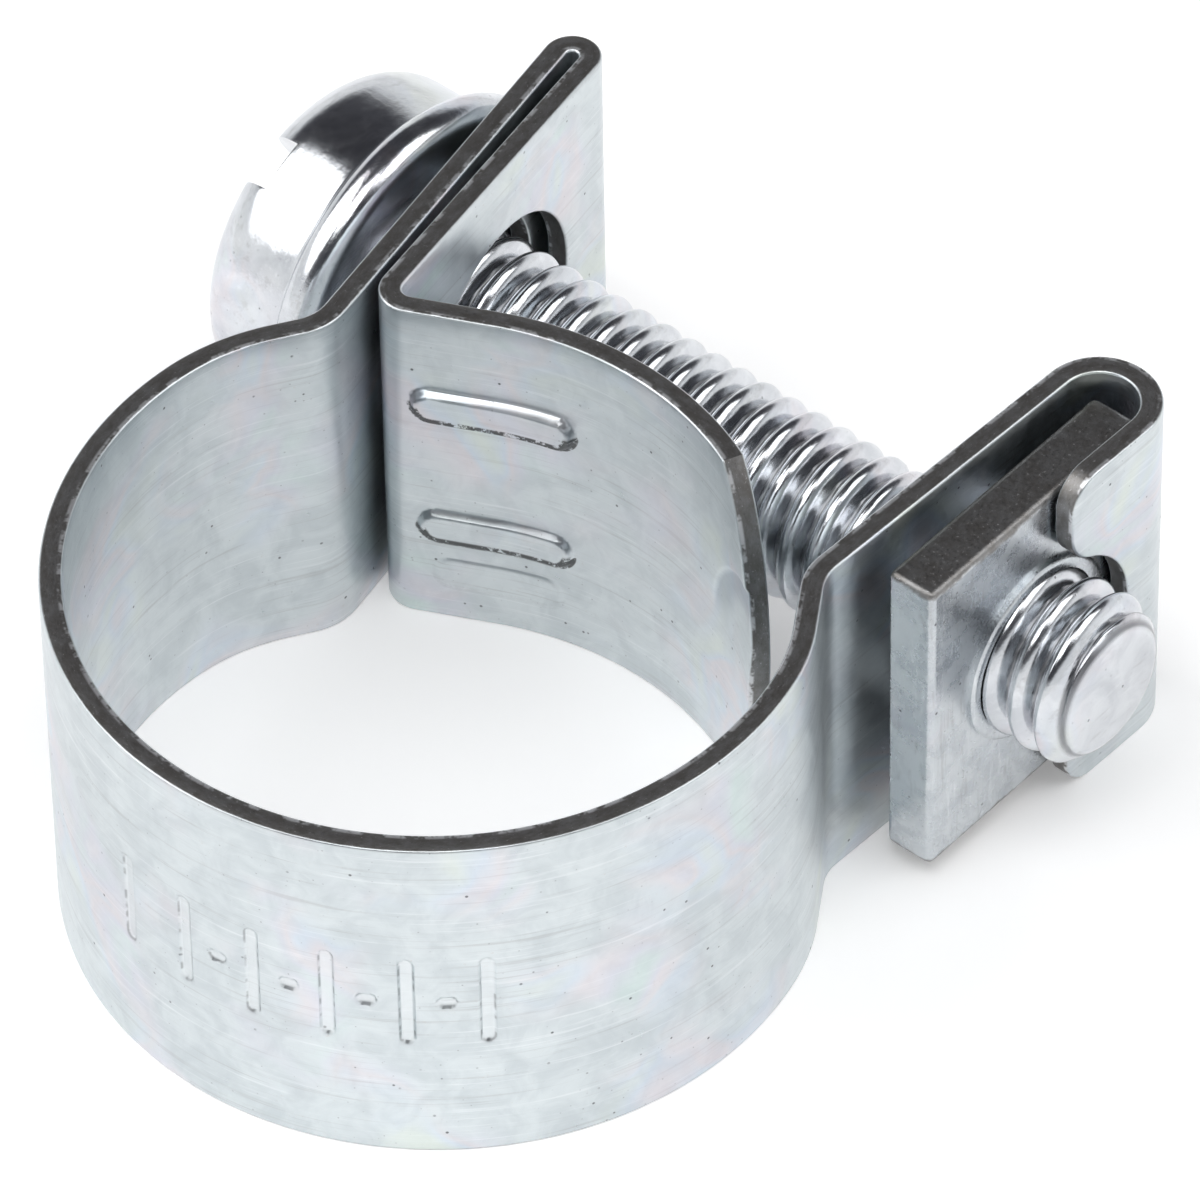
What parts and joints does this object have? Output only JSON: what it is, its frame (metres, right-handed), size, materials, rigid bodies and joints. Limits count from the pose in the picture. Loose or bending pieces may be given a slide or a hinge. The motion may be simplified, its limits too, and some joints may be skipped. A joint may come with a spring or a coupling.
{
  "type": "hose clamp",
  "caption": "Folded steel strip hose clamp: a ring with two ears drawn together by a slotted collar screw and a square nut, with an inner tongue bridging the gap.",
  "frame": {"origin": "centre of the ring, on the plane of the strip's lower edge", "axes": "+Z along the hose, +X along the screw from its head to its tip, +Y from the ring to the two ears"},
  "size_m": [0.0225, 0.0223, 0.009],
  "materials": {
    "band_zinc": "satin zinc plate",
    "screw_zinc": "bright zinc plate",
    "nut_zinc": "satin zinc plate"
  },
  "bodies": {
    "head_ear": {"head_ear": "band_zinc"},
    "ring_front": {"band_front": "band_zinc"},
    "nut_side_1": {"band_nut_side_1": "band_zinc"},
    "nut_side_2": {"band_nut_side_2": "band_zinc"},
    "nut_side_shoulder": {"band_nut_side_shoulder": "band_zinc"},
    "nut_ear": {"nut_ear": "band_zinc"},
    "head_side_1": {"band_head_side_1": "band_zinc"},
    "head_side_2": {"band_head_side_2": "band_zinc"},
    "head_side_shoulder": {"band_head_side_shoulder": "band_zinc"},
    "tongue_root": {"tongue_root": "band_zinc"},
    "tongue_middle": {"tongue_middle": "band_zinc"},
    "tongue_tip": {"tongue_tip": "band_zinc"},
    "screw": {"collar_screw": "screw_zinc"},
    "nut": {"square_nut": "nut_zinc"}
  },
  "joints": [
    {"name": "nut_travel", "type": "slide", "parent": "head_ear", "child": "nut", "axis": [1, 0, 0], "range_m": [-0.007, 0]},
    {"name": "screw_turn", "type": "hinge", "parent": "head_ear", "child": "screw", "pos_m": [0, 0.00953, 0.0045], "axis": [1, 0, 0], "range_deg": [0, 3600]},
    {"name": "head_ear_bend", "type": "hinge", "parent": "head_ear", "child": "head_side_shoulder", "pos_m": [-0.00687, 0.00397, 0.0045], "axis": [0, 0, 1], "range_deg": [-24.12, 0]},
    {"name": "head_side_flex_3", "type": "hinge", "parent": "head_side_shoulder", "child": "head_side_2", "pos_m": [-0.00758, -0.00134, 0.0045], "axis": [0, 0, 1], "range_deg": [0, 8.94]},
    {"name": "head_side_flex_2", "type": "hinge", "parent": "head_side_2", "child": "head_side_1", "pos_m": [-0.0059, -0.00495, 0.0045], "axis": [0, 0, 1], "range_deg": [0, 8.04]},
    {"name": "head_side_flex_1", "type": "hinge", "parent": "head_side_1", "child": "ring_front", "pos_m": [-0.00263, -0.00724, 0.0045], "axis": [0, 0, 1], "range_deg": [0, 7.14]},
    {"name": "nut_side_flex_1", "type": "hinge", "parent": "ring_front", "child": "nut_side_1", "pos_m": [0.00263, -0.00724, 0.0045], "axis": [0, 0, 1], "range_deg": [0, 7.82]},
    {"name": "nut_side_flex_2", "type": "hinge", "parent": "nut_side_1", "child": "nut_side_2", "pos_m": [0.0059, -0.00495, 0.0045], "axis": [0, 0, 1], "range_deg": [0, 6.8]},
    {"name": "nut_side_flex_3", "type": "hinge", "parent": "nut_side_2", "child": "nut_side_shoulder", "pos_m": [0.00758, -0.00134, 0.0045], "axis": [0, 0, 1], "range_deg": [0, 5.78]},
    {"name": "nut_ear_bend", "type": "hinge", "parent": "nut_side_shoulder", "child": "nut_ear", "pos_m": [0.00647, 0.00492, 0.0045], "axis": [0, 0, 1], "range_deg": [-20.4, 0]},
    {"name": "tongue_root_flex", "type": "hinge", "parent": "head_ear", "child": "tongue_root", "pos_m": [-0.00609, 0.00522, 0.0045], "axis": [0, 0, 1], "range_deg": [-31, 0]},
    {"name": "tongue_middle_flex", "type": "hinge", "parent": "tongue_root", "child": "tongue_middle", "pos_m": [-0.00127, 0.00674, 0.0045], "axis": [0, 0, 1], "range_deg": [-3, 0]},
    {"name": "tongue_tip_flex", "type": "hinge", "parent": "tongue_middle", "child": "tongue_tip", "pos_m": [0.00153, 0.0065, 0.0045], "axis": [0, 0, 1], "range_deg": [-3, 0]}
  ],
  "couplings": [
    {"joint": "screw_turn", "follows": "nut_travel", "rad_per_m": -8976},
    {"joint": "head_ear_bend", "follows": "nut_travel", "rad_per_m": 60.139},
    {"joint": "head_side_flex_3", "follows": "nut_travel", "rad_per_m": -22.29},
    {"joint": "head_side_flex_2", "follows": "nut_travel", "rad_per_m": -20.046},
    {"joint": "head_side_flex_1", "follows": "nut_travel", "rad_per_m": -17.802},
    {"joint": "nut_side_flex_1", "follows": "nut_travel", "rad_per_m": -19.498},
    {"joint": "nut_side_flex_2", "follows": "nut_travel", "rad_per_m": -16.955},
    {"joint": "nut_side_flex_3", "follows": "nut_travel", "rad_per_m": -14.411},
    {"joint": "nut_ear_bend", "follows": "nut_travel", "rad_per_m": 50.864},
    {"joint": "tongue_root_flex", "follows": "nut_travel", "rad_per_m": 77.293},
    {"joint": "tongue_middle_flex", "follows": "nut_travel", "rad_per_m": 7.48},
    {"joint": "tongue_tip_flex", "follows": "nut_travel", "rad_per_m": 7.48}
  ]
}
